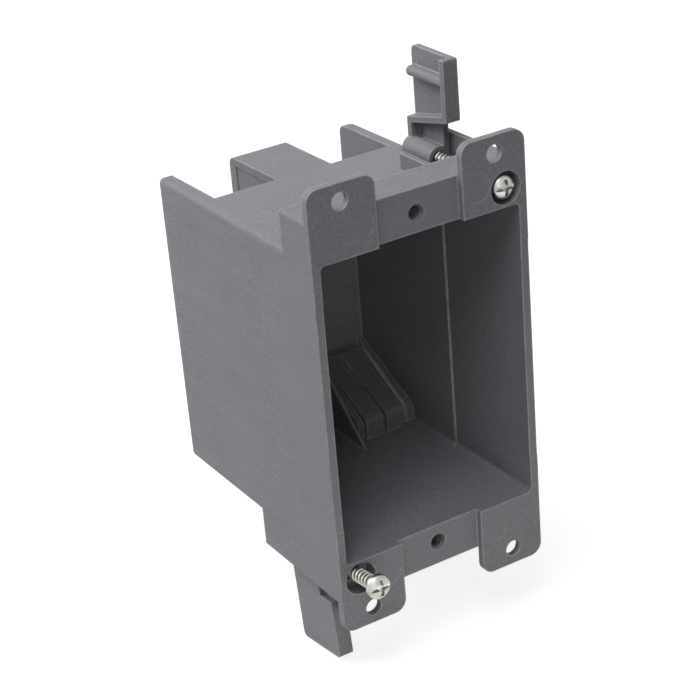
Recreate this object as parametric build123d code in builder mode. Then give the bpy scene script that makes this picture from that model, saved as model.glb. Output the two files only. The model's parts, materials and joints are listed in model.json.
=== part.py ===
from build123d import *
import os
from math import asin, cos, radians, sin, tan

os.makedirs("parts", exist_ok=True)

# A single-gang cut-in wall box: one moulded shell and two swing clamps, each a moulded wing on a long
# screw. The frame is the box as it hangs in the wall, seen from the front. X is to the right, Z is up, and
# Y goes into the wall. The origin is midway between the two device screw holes, on the face of the
# wallboard, which the backs of the four ears rest on. All sizes are in millimetres.

# Shell, outside. The body's height follows from the spacing of the device screws.
box_width = 56.8
box_depth = 72.0
device_screw_spacing = 83.34
screw_reach = 3.27
side_wall = 2.1
end_wall = 1.3
body_draft = 0.6
body_corner = 2.0
rear_edge_radius = 2.2

# Front blocks above and below the opening, cored from behind
block_reach = 9.05
block_depth = 10.4
block_corner = 1.0
block_wall = 2.0
device_hole_radius = 1.6
device_sink_radius = 2.15
boss_width = 10.4
rib_thickness = 1.6
rib_inset = 12.8

# Ears and rims, with the places of their holes and marks counted from the nearest edges
ear_reach = 7.25
ear_thickness = 1.8
ear_width = 17.2
ear_corner = 3.0
ear_hole_radius = 2.05
ear_hole_inset = 8.3
ear_hole_margin = 4.15
mark_radius = 3.2
mark_depth = 0.1
mark_inset = 13.1
mark_margin = 3.95
rim_step_height = 55.6
rim_step = 0.15

# Cavity
opening_corner = 1.2
front_cavity_length = 30.0
front_cavity_draft = 1.0
cavity_ledge = 0.5
rear_cavity_draft = 1.4
rear_wall = 2.8

# Cable bays: one in each rear corner, closed by a sloping wall with an upright front end. The wall holds a
# moulded cable tongue with two rails, and a gusset stands beside it.
middle_prong_width = 15.2
bay_inset = 4.2
bay_length = 22.6
bay_rear_reach = 14.0
ramp_slope = 28.8
ramp_wall = 1.65
knee_radius = 2.4
flank_wall = 1.6
gusset_length = 31.0
gusset_slope = 42.4
gusset_thickness = 0.7
tongue_inner_gap = 0.5
tongue_outer_gap = 2.1
tongue_end_gap = 5.4
tongue_end_drop = 2.7
slit_width = 0.8
slit_margin = 1.4
rail_margin = 1.6
groove_width = 1.4
rail_reach = 1.45
rail_rear_rise = 0.1
rail_front_rise = 1.6
rail_radius = 2.0

# Seats and channels of the swing clamps
clamp_inset = 5.55
seat_hole_clearance = 0.45
recess_radius = 4.0
recess_depth = 4.2
seat_wall = 2.0
fin_length = 33.3
fin_thickness = 2.2
ledge_offset = 4.2
ledge_thickness = 1.5
ledge_rise = 0.6
ledge_length = 32.1

# Clamp wing, measured from its screw
wing_reach = 24.6
wing_length = 16.2
wing_outer_face = 3.0
plate_thickness = 1.5
wing_rise = 0.9
barrel_radius = 2.9
barrel_setback = 5.0
bore_clearance = 0.05
rim_start = 9.8
rim_thickness = 1.6
shelf_drop = 3.7
shelf_thickness = 1.6
heel_thickness = 1.5
bar_place = 18.8
bar_width = 2.5
wing_rear_corner = 1.4
wing_front_corner = 0.5

# Clamp screw
screw_radius = 1.75
screw_length = 36.5
point_length = 1.6
point_radius = 0.8
head_radius = 2.95
head_side = 0.9
head_height = 2.4
cross_length = 3.9
slot_width = 0.9
slot_depth = 1.0

# Where each clamp stands: depths of the wing's front rim and of the upper screw head's underside behind the
# wall's face, and how far the lower one stands out before it. The lower clamp hangs loose in its seat hole,
# so it droops towards the rear, in degrees.
upper_wing_depth = 19.0
upper_head_depth = 0.1
lower_wing_depth = 9.2
lower_head_stand = 8.7
lower_droop = 6.5

# Worked out from the sizes above
half_width = box_width / 2
box_height = device_screw_spacing - 2 * screw_reach
block_height = box_height + 2 * block_reach
ear_height = block_height + 2 * ear_reach
ear_hole_across = box_width - 2 * ear_hole_inset
ear_hole_along = ear_height - 2 * ear_hole_margin
mark_across = box_width - 2 * mark_inset
mark_along = block_height - 2 * mark_margin
opening_width = box_width - 2 * side_wall
opening_height = box_height - 2 * end_wall
body_rear = box_depth - ear_thickness
fin_inner_face = half_width - fin_thickness
cleared_width = box_width - fin_thickness
clamp_x = half_width - clamp_inset
clamp_z = device_screw_spacing / 2
seat_depth = recess_depth - ear_thickness
seat_middle = seat_depth + seat_wall / 2
seat_hole_radius = screw_radius + seat_hole_clearance
cavity_step_depth = front_cavity_length - ear_thickness
rear_cavity_length = body_rear - rear_wall - cavity_step_depth
narrowing = 2 * front_cavity_length * tan(radians(front_cavity_draft))
wall_root = opening_height / 2
pocket_low = wall_root + block_wall
pocket_height = block_height / 2 - block_wall - pocket_low
ledge_face = clamp_x - ledge_offset
ledge_back = ledge_face - ledge_thickness
ledge_height = clamp_z + ledge_rise - wall_root
rib_place = half_width - rib_inset
rib_inner_face = rib_place - rib_thickness / 2
rib_outer_face = rib_place + rib_thickness / 2
rear_root = body_rear - rear_wall / 2
rear_inner_face = body_rear - rear_wall
bay_inner_edge = middle_prong_width / 2
bay_outer_edge = half_width - bay_inset
bay_front = body_rear - bay_length
bay_rear_height = box_height / 2 - bay_rear_reach
bay_centre = (bay_inner_edge + bay_outer_edge) / 2
bay_width = bay_outer_edge - bay_inner_edge
knee_face = bay_front - ramp_wall
tongue_inner_edge = bay_inner_edge + tongue_inner_gap
tongue_outer_edge = bay_outer_edge - tongue_outer_gap
tongue_place = (tongue_inner_edge + tongue_outer_edge) / 2
tongue_width = tongue_outer_edge - tongue_inner_edge
tongue_end = body_rear - tongue_end_gap
tongue_end_height = bay_rear_height - tongue_end_drop
slit_offset = (tongue_width + slit_width) / 2
slit_foot = wall_root - slit_margin
rail_width = (tongue_width - groove_width) / 2 - rail_margin
rail_offset = (groove_width + rail_width) / 2
rail_face = knee_face - rail_reach
ramp_rise = tan(radians(ramp_slope))
ramp_wall_height = ramp_wall / cos(radians(ramp_slope))
bay_lip_depth = tongue_end - (tongue_end_drop - ramp_wall_height) / ramp_rise
gusset_start = body_rear - gusset_length
gusset_drop = (rear_root - gusset_start) * tan(radians(gusset_slope))
gusset_middle = bay_inner_edge - flank_wall + gusset_thickness / 2
bar_radius = bar_width / 2
bar_length = wing_length - bar_radius
heel_height = rim_start - shelf_drop + shelf_thickness / 2
dome_height = head_height - head_side
dome_radius = (head_radius**2 + dome_height**2) / (2 * dome_height)
dome_angle = asin(head_radius / dome_radius) / 2
dome_middle = (dome_radius * (1 - cos(dome_angle)) - head_height, dome_radius * sin(dome_angle))
past = 2.0
signs = (-1, 1)
corners = [(side, level) for side in signs for level in signs]

# Spans across each block that are cored: from, to and the depth where the core starts. They run from the
# side away from the clamp to the clamp's own side.
cores = [
    (-fin_inner_face, -rib_outer_face, block_wall),
    (-rib_inner_face, -boss_width / 2, block_wall),
    (boss_width / 2, ledge_back, block_wall),
    (ledge_face, fin_inner_face, seat_depth + seat_wall),
]

# The two clamps: name, side of the box, droop, depth of the wing and depth of the screw head
clamps = [
    ("upper_clamp", 1, 0, upper_wing_depth, upper_head_depth),
    ("lower_clamp", -1, lower_droop, lower_wing_depth, -lower_head_stand),
]


def at_depth(depth):
    """Upright plane at a depth behind the wall's face, seen from the front."""
    return Plane.XZ.offset(-depth)


def ramp_height(depth, rise):
    """Distance above or below the box's middle of a line along a bay's sloping wall, at a rise above its
    inner face."""
    return tongue_end_height + (tongue_end - depth) * ramp_rise - rise / cos(radians(ramp_slope))


def clamp_plane(side, droop, depth):
    """Plane across a clamp's screw, facing the front, with its y pointing out of the box.

    The screw leans about the middle of its seat wall, and the depth is counted along it.
    """
    seat = Plane(origin=(side * clamp_x, seat_middle, side * clamp_z), x_dir=(side, 0, 0), z_dir=(0, -1, 0))
    return seat.rotated((-droop, 0, 0)).offset(seat_middle - depth)


def lengthwise(plane):
    """Plane through a clamp's screw, facing sideways, with its x pointing to the rear."""
    return Plane(origin=plane.origin, x_dir=-plane.z_dir, z_dir=plane.x_dir)


# Shell. The front frame comes before the body, so that the space behind each block stays clear.
with BuildPart() as shell:
    with BuildSketch(at_depth(-ear_thickness)):
        RectangleRounded(box_width, block_height, block_corner)
    extrude(amount=-(fin_length + ear_thickness), taper=body_draft)

    # Behind the blocks only a fin beside each clamp goes on
    with BuildSketch(at_depth(block_depth)):
        for side in signs:
            with Locations((-side * fin_thickness / 2, side * block_height / 2)):
                Rectangle(cleared_width, block_height)
    extrude(amount=-fin_length, mode=Mode.SUBTRACT)

    # Body, drafted towards the rear
    with BuildSketch(at_depth(-ear_thickness)):
        RectangleRounded(box_width, box_height, body_corner)
    extrude(amount=-box_depth, taper=body_draft)
    fillet(shell.faces().sort_by(Axis.Y)[-1].edges(), radius=rear_edge_radius)

    # Side rims with an ear at each end
    with BuildSketch(at_depth(-ear_thickness)):
        with GridLocations(box_width - ear_width, 0, 2, 1):
            RectangleRounded(ear_width, ear_height, ear_corner)
    extrude(amount=-ear_thickness)

    # The two bars between the ears stand back level with the wall's face
    with BuildSketch(at_depth(-ear_thickness)):
        Rectangle(box_width - 2 * ear_width, ear_height)
    extrude(amount=-ear_thickness, mode=Mode.SUBTRACT)

    # Cavity, in two drafted lengths with a small ledge between them on each side wall
    with BuildSketch(at_depth(-ear_thickness)):
        RectangleRounded(opening_width, opening_height, opening_corner)
    extrude(amount=-front_cavity_length, taper=front_cavity_draft, mode=Mode.SUBTRACT)
    with BuildSketch(at_depth(cavity_step_depth)):
        RectangleRounded(
            opening_width - narrowing - 2 * cavity_ledge,
            opening_height - narrowing,
            opening_corner,
        )
    extrude(amount=-rear_cavity_length, taper=rear_cavity_draft, mode=Mode.SUBTRACT)

    # Each bay: its walls and the tongue's rails are filled into the cavity's corner, then the bay is cut
    # from outside
    for side, level in corners:
        knee = ramp_height(knee_face, 0)
        with BuildSketch(Plane.YZ.offset(side * bay_centre)) as wall:
            with BuildLine():
                Polyline(
                    (rear_root, level * ramp_height(rear_root, 0)),
                    (knee_face, level * knee),
                    (knee_face, level * wall_root),
                    (rear_root, level * wall_root),
                    close=True,
                )
            make_face()
            fillet(wall.vertices().sort_by_distance((knee_face, level * knee))[0], radius=knee_radius)
        extrude(amount=bay_width / 2 + flank_wall, both=True)
        with BuildSketch(Plane.YZ.offset(side * gusset_middle)):
            with BuildLine():
                Polyline(
                    (gusset_start, level * wall_root),
                    (rear_root, level * (wall_root - gusset_drop)),
                    (rear_root, level * wall_root),
                    close=True,
                )
            make_face()
        extrude(amount=gusset_thickness / 2, both=True)
        nose = ramp_height(rail_face, rail_front_rise)
        for offset in (-rail_offset, rail_offset):
            with BuildSketch(Plane.YZ.offset(side * (tongue_place + offset))) as rail:
                with BuildLine():
                    Polyline(
                        (tongue_end, level * ramp_height(tongue_end, rail_rear_rise)),
                        (rail_face, level * nose),
                        (rail_face, level * wall_root),
                        (bay_front, level * wall_root),
                        (bay_front, level * ramp_height(bay_front, 0)),
                        (tongue_end, level * ramp_height(tongue_end, 0)),
                        close=True,
                    )
                make_face()
                fillet(rail.vertices().sort_by_distance((rail_face, level * nose))[0], radius=rail_radius)
            extrude(amount=rail_width / 2, both=True)
        with BuildSketch(Plane.YZ.offset(side * bay_centre)):
            with BuildLine():
                Polyline(
                    (body_rear + past, level * bay_rear_height),
                    (bay_lip_depth, level * bay_rear_height),
                    (bay_front, level * ramp_height(bay_front, -ramp_wall)),
                    (bay_front, level * (box_height / 2 + past)),
                    (body_rear + past, level * (box_height / 2 + past)),
                    close=True,
                )
            make_face()
        extrude(amount=bay_width / 2, both=True, mode=Mode.SUBTRACT)

    # Slits along both sides of each tongue, and the gap between its free end and the rear wall
    for side, level in corners:
        for offset in (-slit_offset, slit_offset):
            with BuildSketch(Plane.YZ.offset(side * (tongue_place + offset))):
                with BuildLine():
                    Polyline(
                        (tongue_end, level * ramp_height(tongue_end, past)),
                        (rail_face, level * ramp_height(rail_face, past)),
                        (rail_face, level * slit_foot),
                        (tongue_end, level * slit_foot),
                        close=True,
                    )
                make_face()
            extrude(amount=slit_width / 2, both=True, mode=Mode.SUBTRACT)
        with BuildSketch(Plane.YZ.offset(side * tongue_place)):
            with BuildLine():
                Polyline(
                    (tongue_end, level * ramp_height(tongue_end, past)),
                    (rear_inner_face, level * ramp_height(tongue_end, past)),
                    (rear_inner_face, level * slit_foot),
                    (tongue_end, level * slit_foot),
                    close=True,
                )
            make_face()
        extrude(amount=tongue_width / 2 + slit_width, both=True, mode=Mode.SUBTRACT)

    # Ledge along the inner side of each clamp's channel
    for side in signs:
        with BuildSketch(at_depth(seat_depth)):
            with Locations(
                (side * (ledge_back + ledge_face) / 2, side * (wall_root + ledge_height / 2)),
            ):
                Rectangle(ledge_thickness, ledge_height)
        extrude(amount=-(ledge_length - seat_depth))

    # Cores in the back of both blocks
    for side in signs:
        for start, end, depth in cores:
            with BuildSketch(at_depth(depth)):
                with Locations((side * (start + end) / 2, side * (pocket_low + pocket_height / 2))):
                    Rectangle(end - start, pocket_height)
            extrude(amount=-(block_depth - depth), mode=Mode.SUBTRACT)

    # Screw holes: two clamp seats, two device screws and four ears
    for side in signs:
        with Locations(Plane(origin=(side * clamp_x, -ear_thickness, side * clamp_z), z_dir=(0, -1, 0))):
            CounterBoreHole(seat_hole_radius, recess_radius, recess_depth, depth=block_depth)
    for level in signs:
        with Locations(Plane(origin=(0, 0, level * clamp_z), z_dir=(0, -1, 0))):
            CounterSinkHole(device_hole_radius, device_sink_radius, depth=block_depth + past)
    with BuildSketch(at_depth(-ear_thickness)):
        with GridLocations(ear_hole_across, ear_hole_along, 2, 2):
            Circle(ear_hole_radius)
    extrude(amount=-ear_thickness, mode=Mode.SUBTRACT)

    # Shallow marks: ejector discs beside the clamps, and the step along the middle of both rims
    with BuildSketch(at_depth(-ear_thickness)):
        with GridLocations(mark_across, mark_along, 2, 2):
            Circle(mark_radius)
    extrude(amount=-mark_depth, mode=Mode.SUBTRACT)
    with BuildSketch(at_depth(-ear_thickness)):
        Rectangle(box_width + past, rim_step_height)
    extrude(amount=-rim_step, mode=Mode.SUBTRACT)
shell.part.label = "box_shell"
export_step(shell.part, "parts/box_shell.step")

# Swing clamps
for name, side, droop, wing_depth, head_depth in clamps:
    front = clamp_plane(side, droop, wing_depth)
    flat = lengthwise(front)

    # Wing: a plate beside the screw with a rim, a bar and a sloping shelf on its inner face
    with BuildPart() as wing:
        with BuildSketch(flat.offset(wing_outer_face)) as outline:
            with BuildLine():
                Polyline(
                    (barrel_setback, 0),
                    (barrel_setback, rim_start),
                    (0, rim_start),
                    (0, wing_reach),
                    (wing_length, wing_reach),
                    (wing_length, 0),
                    close=True,
                )
            make_face()
            front_corner = outline.vertices().sort_by_distance((0, wing_reach))[0]
            fillet(front_corner, radius=wing_front_corner)
            rear_corner = outline.vertices().sort_by_distance((wing_length, wing_reach))[0]
            fillet(rear_corner, radius=wing_rear_corner)
        extrude(amount=-plate_thickness)
        with BuildSketch(flat.offset(-wing_rise)) as rim:
            with BuildLine():
                Polyline(
                    (0, rim_start),
                    (0, wing_reach),
                    (rim_thickness, wing_reach),
                    (rim_thickness, rim_start),
                    close=True,
                )
            make_face()
            fillet(rim.vertices().sort_by_distance((0, wing_reach))[0], radius=wing_front_corner)
        extrude(amount=wing_rise + wing_outer_face - plate_thickness)
        with BuildSketch(flat.offset(-wing_rise)):
            with BuildLine():
                Polyline(
                    (0, rim_start),
                    (0, rim_start + shelf_thickness),
                    (wing_length, rim_start + shelf_thickness - shelf_drop),
                    (wing_length, rim_start - shelf_drop),
                    close=True,
                )
            make_face()
        extrude(amount=wing_rise + wing_outer_face - plate_thickness)
        with BuildSketch(flat.offset(-wing_rise)):
            with Locations((wing_length - heel_thickness / 2, heel_height / 2)):
                Rectangle(heel_thickness, heel_height)
        extrude(amount=wing_rise + wing_outer_face - plate_thickness)

        # Half-round bar with a round rear end
        with BuildSketch(front):
            with Locations((bar_radius - wing_rise, bar_place)):
                Circle(bar_radius)
            with Locations((wing_outer_face / 2, bar_place)):
                Rectangle(wing_outer_face + 2 * (wing_rise - bar_radius), bar_width)
        extrude(amount=-bar_length)
        with BuildSketch(flat.offset(bar_radius - wing_rise)):
            with Locations((bar_length, bar_place)):
                Circle(bar_radius)
        extrude(amount=wing_outer_face - plate_thickness + wing_rise - bar_radius)
        with Locations(Location(flat.from_local_coords((bar_length, bar_place, bar_radius - wing_rise)))):
            Sphere(bar_radius)

        # Barrel round the screw
        with BuildSketch(front.offset(-barrel_setback)):
            Circle(barrel_radius)
        extrude(amount=barrel_setback - wing_length)
        with BuildSketch(front):
            Circle(screw_radius + bore_clearance)
        extrude(amount=-wing_length, mode=Mode.SUBTRACT)
    wing.part.label = name + "_wing"
    export_step(wing.part, "parts/" + wing.part.label + ".step")

    # Screw: pan head, shank and blunt point, with a cross and a longer single slot in the head
    underside = clamp_plane(side, droop, head_depth)
    with BuildPart() as screw:
        with BuildSketch(lengthwise(underside)):
            with BuildLine():
                Line((-head_height, 0), (screw_length, 0))
                Polyline(
                    (screw_length, 0),
                    (screw_length, point_radius),
                    (screw_length - point_length, screw_radius),
                    (0, screw_radius),
                    (0, head_radius),
                    (-head_side, head_radius),
                )
                ThreePointArc((-head_side, head_radius), dome_middle, (-head_height, 0))
            make_face()
        revolve(axis=Axis(underside.origin, underside.z_dir))
        with BuildSketch(underside.offset(head_height)):
            Rectangle(2 * head_radius, slot_width)
            Rectangle(slot_width, cross_length)
        extrude(amount=-slot_depth, mode=Mode.SUBTRACT)
    screw.part.label = name + "_screw"
    export_step(screw.part, "parts/" + screw.part.label + ".step")
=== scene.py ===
import json
import math

import bmesh
import bpy
from mathutils import Matrix, Vector


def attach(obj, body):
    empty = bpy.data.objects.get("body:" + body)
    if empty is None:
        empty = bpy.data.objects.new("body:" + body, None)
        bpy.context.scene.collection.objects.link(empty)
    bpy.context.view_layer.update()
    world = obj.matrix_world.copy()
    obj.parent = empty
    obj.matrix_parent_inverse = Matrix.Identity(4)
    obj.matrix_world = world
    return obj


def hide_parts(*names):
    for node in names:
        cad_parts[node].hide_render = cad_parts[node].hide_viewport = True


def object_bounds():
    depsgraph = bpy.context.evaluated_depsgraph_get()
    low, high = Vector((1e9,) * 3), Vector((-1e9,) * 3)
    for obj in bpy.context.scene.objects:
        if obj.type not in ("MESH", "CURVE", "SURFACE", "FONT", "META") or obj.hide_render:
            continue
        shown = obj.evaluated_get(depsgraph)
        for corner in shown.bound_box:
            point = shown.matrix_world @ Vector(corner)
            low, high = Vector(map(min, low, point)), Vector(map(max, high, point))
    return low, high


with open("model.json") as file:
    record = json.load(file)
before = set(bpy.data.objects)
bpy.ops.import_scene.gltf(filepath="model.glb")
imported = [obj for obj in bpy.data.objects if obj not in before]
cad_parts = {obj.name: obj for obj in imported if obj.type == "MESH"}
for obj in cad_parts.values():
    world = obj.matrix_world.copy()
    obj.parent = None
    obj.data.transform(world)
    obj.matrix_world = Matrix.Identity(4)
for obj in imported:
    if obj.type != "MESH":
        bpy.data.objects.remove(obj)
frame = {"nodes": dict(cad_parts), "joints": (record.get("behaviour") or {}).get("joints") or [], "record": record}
bounds_at_load = [list(corner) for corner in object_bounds()]
scene = bpy.context.scene
scene.view_settings.view_transform = "Standard"


class Tree:
    """A node material, built one node at a time."""

    def __init__(self, name):
        self.material = bpy.data.materials.new(name)
        self.material.use_nodes = True
        self.tree = self.material.node_tree
        self.tree.nodes.clear()
        self.output = self.add("ShaderNodeOutputMaterial")
        self.place = self.add("ShaderNodeTexCoord").outputs["Object"]

    def add(self, kind, links=(), values=(), **settings):
        node = self.tree.nodes.new(kind)
        for key, value in settings.items():
            setattr(node, key, value)
        for key, value in dict(values).items():
            node.inputs[key].default_value = value
        for key, source in dict(links).items():
            self.tree.links.new(source, node.inputs[key])
        return node

    def noise(self, scale, detail=2.0, stretch=None, roughness=0.5):
        place = self.place
        if stretch:
            place = self.add(
                "ShaderNodeMapping", links={"Vector": place}, values={"Scale": stretch}
            ).outputs["Vector"]
        return self.add(
            "ShaderNodeTexNoise",
            links={"Vector": place},
            values={"Scale": scale, "Detail": detail, "Roughness": roughness},
        ).outputs["Fac"]

    def spread(self, source, low, high, start=0.3, end=0.7):
        return self.add(
            "ShaderNodeMapRange",
            links={"Value": source},
            values={"From Min": start, "From Max": end, "To Min": low, "To Max": high},
        ).outputs["Result"]

    def blend(self, amount, first, second):
        node = self.add("ShaderNodeMix", data_type="RGBA")
        self.tree.links.new(amount, node.inputs["Factor"])
        node.inputs["A"].default_value = (*first, 1)
        node.inputs["B"].default_value = (*second, 1)
        return node.outputs["Result"]

    def cover(self, amount, under, colour):
        """The colour from another node, partly covered with a plain one."""
        node = self.add("ShaderNodeMix", data_type="RGBA")
        self.tree.links.new(amount, node.inputs["Factor"])
        self.tree.links.new(under, node.inputs["A"])
        node.inputs["B"].default_value = (*colour, 1)
        return node.outputs["Result"]

    def math(self, operation, first, second):
        """A sum, product or the like of two outputs, or of an output and a number."""
        node = self.add("ShaderNodeMath", operation=operation, links={0: first})
        if isinstance(second, (int, float)):
            node.inputs[1].default_value = second
        else:
            self.tree.links.new(second, node.inputs[1])
        return node.outputs[0]

    def bump(self, height, distance, strength=1.0, normal=None):
        links = {"Height": height}
        if normal is not None:
            links["Normal"] = normal
        return self.add(
            "ShaderNodeBump", links=links, values={"Distance": distance, "Strength": strength}
        ).outputs["Normal"]

    def close(self, shader):
        self.tree.links.new(shader, self.output.inputs["Surface"])
        return self.material


def seen_white(tree):
    """One for rays straight from the camera or by way of a shiny or clear surface, else nought."""
    ray = tree.nodes.new("ShaderNodeLightPath")
    total = ray.outputs["Is Camera Ray"]
    for kind in ("Is Glossy Ray", "Is Transmission Ray"):
        larger = tree.nodes.new("ShaderNodeMath")
        larger.operation = "MAXIMUM"
        tree.links.new(total, larger.inputs[0])
        tree.links.new(ray.outputs[kind], larger.inputs[1])
        total = larger.outputs[0]
    return total


# Ridges in the device screw holes, in metres
device_screws = next(m for m in frame["record"]["mounts"] if m["name"] == "device_screws")["dims"]
DEVICE_HOLE_LEVEL = device_screws["spacing_y_mm"] / 2000
RIDGE_MARGIN = 0.0005
DEVICE_HOLE_REACH = device_screws["hole_r_mm"] / 1000 + RIDGE_MARGIN
RIDGE_PITCH = 0.0008
RIDGE_DEPTH = 0.0002


def thread_ridges(m):
    """Height of fine ridges along Y inside the two device screw holes, and nought elsewhere."""
    split = m.add("ShaderNodeSeparateXYZ", links={0: m.place})
    level = m.math("SUBTRACT", m.math("ABSOLUTE", split.outputs["Z"], 0.0), DEVICE_HOLE_LEVEL)
    square = m.math("ADD", m.math("POWER", level, 2.0), m.math("POWER", split.outputs["X"], 2.0))
    inside = m.math("LESS_THAN", square, DEVICE_HOLE_REACH**2)
    wave = m.math("SINE", m.math("MULTIPLY", split.outputs["Y"], 2 * math.pi / RIDGE_PITCH), 0.0)
    return m.math("MULTIPLY", wave, inside)


# Plastic: scales of its textures, radii and depths in metres, painted highlight on its edges and gloss
GRAIN_SCALE = 2400
CLOUD_SCALE = 55
STREAK_SCALE = 40
STREAK_STRETCH = (1.0, 1.0, 7.0)
PATCH_SCALE = 320
EDGE_RADIUS = 0.0003
EDGE_HIGHLIGHT_RADIUS = 0.0007
CLOUD_DEPTH = 0.0004
GRAIN_DEPTH = 0.0001
# Painted highlight along edges: how strongly it lightens, and the pale grey it lightens towards
EDGE_HIGHLIGHT_SHARE = 0.85
EDGE_HIGHLIGHT_GREY = (0.6, 0.6, 0.6)
ROUGHNESS_SPREAD = 0.06
PLASTIC_IOR = 1.49
PLASTIC_SPECULAR = 0.2


def plastic(name, dark, light, roughness, holes=False):
    """Grey moulded plastic: eroded grain, cloudiness, faint flow streaks and patchy painted highlights along its
    edges.
    """
    m = Tree(name)
    grain = m.noise(GRAIN_SCALE, 3.0, roughness=0.6)
    cloud = m.noise(CLOUD_SCALE, 3.0)
    streaks = m.noise(STREAK_SCALE, 4.0, stretch=STREAK_STRETCH)
    tone = m.math("ADD", m.spread(cloud, 0.2, 0.4), m.spread(grain, -0.5, 0.9))
    edge = m.add("ShaderNodeBevel", values={"Radius": EDGE_RADIUS}, samples=6).outputs["Normal"]
    wide = m.add("ShaderNodeBevel", values={"Radius": EDGE_HIGHLIGHT_RADIUS}, samples=8).outputs["Normal"]
    face = m.add("ShaderNodeNewGeometry").outputs["Normal"]
    turned = m.add(
        "ShaderNodeVectorMath", operation="DOT_PRODUCT", links={0: wide, 1: face}
    ).outputs["Value"]
    patches = m.spread(m.noise(PATCH_SCALE, 3.0), 0.45, 1.0, 0.35, 0.6)
    # Painted highlight: where the wide bevel normal turns from the face, the colour is lightened towards pale grey
    # in uneven patches
    painted_edge_highlight = m.math("MULTIPLY", m.spread(turned, 1.0, 0.0, 0.86, 0.98), patches)
    colour = m.cover(m.math("MULTIPLY", painted_edge_highlight, EDGE_HIGHLIGHT_SHARE), m.blend(tone, dark, light), EDGE_HIGHLIGHT_GREY)
    waves = m.bump(cloud, CLOUD_DEPTH, 0.25, edge)
    normal = m.bump(grain, GRAIN_DEPTH, 1.0, waves)
    if holes:
        normal = m.bump(thread_ridges(m), RIDGE_DEPTH, 1.0, normal)
    streaked = m.spread(streaks, roughness - ROUGHNESS_SPREAD, roughness + ROUGHNESS_SPREAD)
    rough = m.math("ADD", streaked, m.spread(grain, -0.04, 0.04))
    shader = m.add(
        "ShaderNodeBsdfPrincipled",
        links={"Base Color": colour, "Roughness": rough, "Normal": normal},
        values={"IOR": PLASTIC_IOR, "Specular IOR Level": PLASTIC_SPECULAR},
    )
    return m.close(shader.outputs["BSDF"])


# Zinc: scales of its textures, its colours with the painted shade of recesses and thread grooves, and reach and
# depths in metres
ZINC_GRAIN_SCALE = 3000
ZINC_CLOUD_SCALE = 500
ZINC_TINT_SCALE = 260
ZINC_DULL = (0.34, 0.35, 0.35)
ZINC_BRIGHT = (0.58, 0.58, 0.56)
ZINC_TINT = (0.66, 0.6, 0.42)
# Painted shade: the near-black colours that recesses and thread grooves are darkened towards
RECESS_PAINTED_SHADE = (0.09, 0.1, 0.1)
GROOVE_PAINTED_SHADE = (0.03, 0.03, 0.03)
RECESS_REACH = 0.0008
ZINC_CLOUD_DEPTH = 0.00012
ZINC_GRAIN_DEPTH = 0.00002


def zinc(name):
    """Zinc plating with warm patches and uneven grain, and painted shade darkening its recesses and thread
    grooves.
    """
    m = Tree(name)
    grain = m.noise(ZINC_GRAIN_SCALE, 2.0)
    cloud = m.noise(ZINC_CLOUD_SCALE, 3.0)
    bright = m.blend(m.spread(cloud, 0.0, 1.0), ZINC_DULL, ZINC_BRIGHT)
    warm = m.spread(m.noise(ZINC_TINT_SCALE, 2.0), 0.0, 0.5, 0.45, 0.65)
    tinted = m.cover(warm, bright, ZINC_TINT)
    # Painted shade: within a short reach of other surfaces, found by ambient occlusion, the colour is darkened
    # towards near black
    open_sky = m.add(
        "ShaderNodeAmbientOcclusion", values={"Distance": RECESS_REACH}, samples=8
    ).outputs["AO"]
    # Painted shade: deeper into the thread grooves the colour turns almost black
    groove_shade = m.add("ShaderNodeAttribute", attribute_name="groove_shade").outputs["Fac"]
    recess_shaded = m.cover(m.spread(open_sky, 0.85, 0.0, 0.4, 0.9), tinted, RECESS_PAINTED_SHADE)
    colour = m.cover(m.spread(groove_shade, 0.0, 0.93, 0.3, 0.8), recess_shaded, GROOVE_PAINTED_SHADE)
    normal = m.bump(cloud, ZINC_CLOUD_DEPTH, 0.8, m.bump(grain, ZINC_GRAIN_DEPTH, 0.5))
    shader = m.add(
        "ShaderNodeBsdfPrincipled",
        links={"Base Color": colour, "Roughness": m.spread(cloud, 0.24, 0.4), "Normal": normal},
        values={"Metallic": 1.0},
    )
    return m.close(shader.outputs["BSDF"])


# Paper of the floor, and the white that it and the world are lifted to
FIBRE_SCALE = 900
FIBRE_DEPTH = 0.00005
FIBRE_SHADE = 0.99
WHITE = (1, 1, 1, 1)


def paper(name, colour, glow):
    """Plain pale paper, lifted to white for the camera and shiny or clear surfaces."""
    m = Tree(name)
    fibre = m.noise(FIBRE_SCALE, 3.0)
    shade = m.blend(m.spread(fibre, 0.0, 1.0), [c * FIBRE_SHADE for c in colour], colour)
    shader = m.add(
        "ShaderNodeBsdfPrincipled",
        links={
            "Base Color": shade,
            "Roughness": m.spread(fibre, 0.85, 0.95),
            "Normal": m.bump(fibre, FIBRE_DEPTH, 0.2),
        },
    )
    lift = m.add("ShaderNodeEmission", values={"Color": WHITE})
    m.tree.links.new(m.math("MULTIPLY", seen_white(m.tree), glow), lift.inputs["Strength"])
    both = m.add(
        "ShaderNodeAddShader", links={0: shader.outputs["BSDF"], 1: lift.outputs["Emission"]}
    )
    return m.close(both.outputs["Shader"])


# Dark and light grey and roughness of the two mouldings
SHELL_GREYS = (0.213, 0.219, 0.241), (0.3, 0.307, 0.331)
WING_GREYS = (0.218, 0.224, 0.243), (0.305, 0.311, 0.332)
SHELL_ROUGHNESS = 0.5
WING_ROUGHNESS = 0.48
shell_plastic = plastic("shell_plastic", *SHELL_GREYS, SHELL_ROUGHNESS, holes=True)
wing_plastic = plastic("wing_plastic", *WING_GREYS, WING_ROUGHNESS)
screw_zinc = zinc("screw_zinc")


def dress(obj, material):
    obj.data.materials.clear()
    obj.data.materials.append(material)


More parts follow.
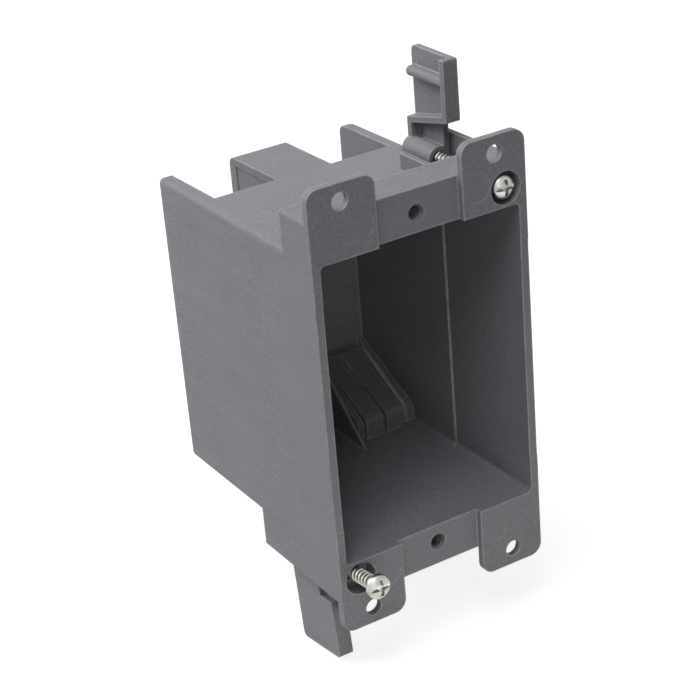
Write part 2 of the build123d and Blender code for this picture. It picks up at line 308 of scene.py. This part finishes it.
nodes = frame["nodes"]
dress(nodes["box_shell"], shell_plastic)
dress(nodes["upper_clamp_wing"], wing_plastic)
dress(nodes["lower_clamp_wing"], wing_plastic)

# Thread of the clamp screws, in metres, with its radii at shares of one pitch
PITCH = 0.00127
CREST_RADIUS = 0.00175
ROOT_RADIUS = 0.00128
PROFILE = ((0.0, CREST_RADIUS), (0.12, CREST_RADIUS), (0.45, ROOT_RADIUS), (0.68, ROOT_RADIUS))
NECK_LENGTH = 0.0009
POINT_LENGTH = 0.0016
TIP_RADIUS = 0.0008
STEPS = 40

# Tolerances for cutting and joining the meshes of the screws, in metres
PAST_HEAD = 1e-5
HEAD_MERGE = 1e-7
THREAD_MERGE = 2e-7


def threaded(node, joint, stand):
    """The node's head with a right-hand thread on the joint's axis in place of the plain shank.

    The underside of the head stands that far before the joint's place.
    """
    along = Vector(joint["axis"]).normalized()
    start = Vector(joint["pos_m"]) - along * stand
    across = along.cross(Vector((1, 0, 0))).normalized()
    up = along.cross(across)

    def around(place, angle, reach):
        return start + along * place + (across * math.cos(angle) + up * math.sin(angle)) * reach

    mesh = bmesh.new()
    mesh.from_mesh(nodes[node].data)
    # Depth into the thread groove per vertex, read by the zinc as the mask of its painted shade
    groove_shade = mesh.verts.layers.float.new("groove_shade")
    bmesh.ops.remove_doubles(mesh, verts=mesh.verts, dist=HEAD_MERGE)
    length = max((v.co - start).dot(along) for v in mesh.verts)
    behind = [f for f in mesh.faces if max((v.co - start).dot(along) for v in f.verts) > PAST_HEAD]
    bmesh.ops.delete(mesh, geom=behind, context="FACES")
    rows = int((length / PITCH + 2) * STEPS)
    width = len(PROFILE)
    grid = []
    for i in range(rows):
        turn = 2 * math.pi * i / STEPS
        ring = []
        for shift, radius in PROFILE:
            place = min(max(PITCH * (i / STEPS - 1 + shift), 0), length)
            eased = CREST_RADIUS - (CREST_RADIUS - radius) * min(place / NECK_LENGTH, 1)
            cone = TIP_RADIUS + (CREST_RADIUS - TIP_RADIUS) * (length - place) / POINT_LENGTH
            ring.append(mesh.verts.new(around(place, turn, min(eased, cone))))
            ring[-1][groove_shade] = (CREST_RADIUS - eased) / (CREST_RADIUS - ROOT_RADIUS)
        grid.append(ring)
    for i in range(rows - STEPS - 1):
        for j in range(width):
            a = grid[i][j]
            b = grid[i + 1][j]
            c = grid[i + 1][j + 1] if j + 1 < width else grid[i + 1 + STEPS][0]
            d = grid[i][j + 1] if j + 1 < width else grid[i + STEPS][0]
            face = mesh.faces.new((a, b, c, d))
            face.smooth = j % 2 == 0
    cap = [
        mesh.verts.new(around(length, t, TIP_RADIUS))
        for t in (2 * math.pi * k / STEPS for k in range(STEPS))
    ]
    mesh.faces.new(cap)
    bmesh.ops.remove_doubles(mesh, verts=mesh.verts, dist=THREAD_MERGE)
    bmesh.ops.recalc_face_normals(mesh, faces=mesh.faces)
    data = bpy.data.meshes.new(node + "_threaded")
    mesh.to_mesh(data)
    mesh.free()
    obj = bpy.data.objects.new(node + "_threaded", data)
    scene.collection.objects.link(obj)
    obj.data.materials.append(screw_zinc)
    return obj


# How far the underside of each head stands before its joint's place, in metres
UPPER_STAND = 0.0269
LOWER_STAND = 0.0121
joints = {joint["name"]: joint for joint in frame["joints"]}
upper = threaded("upper_clamp_screw", joints["upper_clamp_swing"], UPPER_STAND)
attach(upper, "upper_clamp")
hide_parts("upper_clamp_screw")
lower = threaded("lower_clamp_screw", joints["lower_screw_turn"], LOWER_STAND)
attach(lower, "lower_screw")
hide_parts("lower_clamp_screw")

# Floor, in metres, just under the lowest piece
FLOOR_REACH = 6
FLOOR_GAP = 0.0002
FLOOR_COLOUR = (0.4, 0.4, 0.4)
FLOOR_GLOW = 0.82
lowest = bounds_at_load[0][2]
corners = [(x * FLOOR_REACH, y * FLOOR_REACH, 0) for x, y in ((-1, -1), (1, -1), (1, 1), (-1, 1))]
floor_mesh = bpy.data.meshes.new("floor")
floor_mesh.from_pydata(corners, [], [(0, 1, 2, 3)])
floor = bpy.data.objects.new("floor", floor_mesh)
floor.location = (0, 0, lowest - FLOOR_GAP)
scene.collection.objects.link(floor)
floor.data.materials.append(paper("floor_white", FLOOR_COLOUR, FLOOR_GLOW))

# World: a faint even light, and white where the camera or a shiny surface looks past the floor
AMBIENT_COLOUR = (0.88, 0.94, 1, 1)
AMBIENT_LEVEL = 0.01
world = bpy.data.worlds.new("studio")
world.use_nodes = True
scene.world = world
tree = world.node_tree
tree.nodes.clear()
out = tree.nodes.new("ShaderNodeOutputWorld")
ambient = tree.nodes.new("ShaderNodeBackground")
ambient.inputs["Color"].default_value = AMBIENT_COLOUR
ambient.inputs["Strength"].default_value = AMBIENT_LEVEL
white = tree.nodes.new("ShaderNodeBackground")
white.inputs["Color"].default_value = WHITE
white.inputs["Strength"].default_value = 1.0
pick = tree.nodes.new("ShaderNodeMixShader")
tree.links.new(seen_white(tree), pick.inputs["Fac"])
tree.links.new(ambient.outputs["Background"], pick.inputs[1])
tree.links.new(white.outputs["Background"], pick.inputs[2])
tree.links.new(pick.outputs["Shader"], out.inputs["Surface"])

# Lamps: where they aim, in metres, and their colours
MIDDLE = (0, 0.03, 0)
LOWER_FRONT = (0, 0, -0.051)
PLAIN = (1, 1, 1)
WARM = (1.0, 0.965, 0.92)


def lamp(name, direction, distance, size, power, aim=MIDDLE, colour=PLAIN):
    """Soft light of a width and height, at a distance from a point of the object in a direction."""
    data = bpy.data.lights.new(name, "AREA")
    data.shape = "RECTANGLE"
    data.size, data.size_y = size
    data.energy = power
    data.color = colour
    obj = bpy.data.objects.new(name, data)
    toward = Vector(direction).normalized()
    obj.location = Vector(aim) + toward * distance
    obj.rotation_euler = toward.to_track_quat("Z", "Y").to_euler()
    scene.collection.objects.link(obj)


lamp("overhead", (0, -0.03, 1), 0.9, (0.5, 0.5), 1.25)
lamp("high_left_front", (-0.35, -0.35, 0.87), 0.9, (0.45, 0.45), 2.6)
lamp("left_rear", (-0.53, 0.53, 0.67), 0.9, (0.6, 0.6), 4.9)
lamp("right_rear", (0.9, 0.42, 0.1), 0.9, (0.5, 0.5), 1.4)
lamp("left_front", (-0.46, -0.8, 0.37), 0.9, (0.45, 0.45), 0.48, colour=WARM)
lamp("table_edge_glow", (0, -1, -0.12), 0.08, (0.15, 0.03), 0.024, aim=LOWER_FRONT, colour=WARM)

# Camera, as fitted to the photograph: focal length and sensor in millimetres, place in metres
FOCAL_LENGTH = 104.99
SENSOR = 36
FAR = 50
CAMERA_PLACE = (-0.22346, -0.34562, 0.20925)
CAMERA_RIGHT = (0.8394, -0.5381, -0.0764)
CAMERA_FORWARD = (0.4573, 0.7752, -0.4359)
camera_data = bpy.data.cameras.new("camera")
camera_data.sensor_width = SENSOR
camera_data.lens = FOCAL_LENGTH
camera_data.clip_end = FAR
camera = bpy.data.objects.new("camera", camera_data)
right = Vector(CAMERA_RIGHT)
forward = Vector(CAMERA_FORWARD)
forward = (forward - right * forward.dot(right) / right.dot(right)).normalized()
right = right.normalized()
up = right.cross(forward)
turn = Matrix((right, up, -forward)).transposed().to_4x4()
camera.matrix_world = Matrix.Translation(CAMERA_PLACE) @ turn
scene.collection.objects.link(camera)
scene.camera = camera
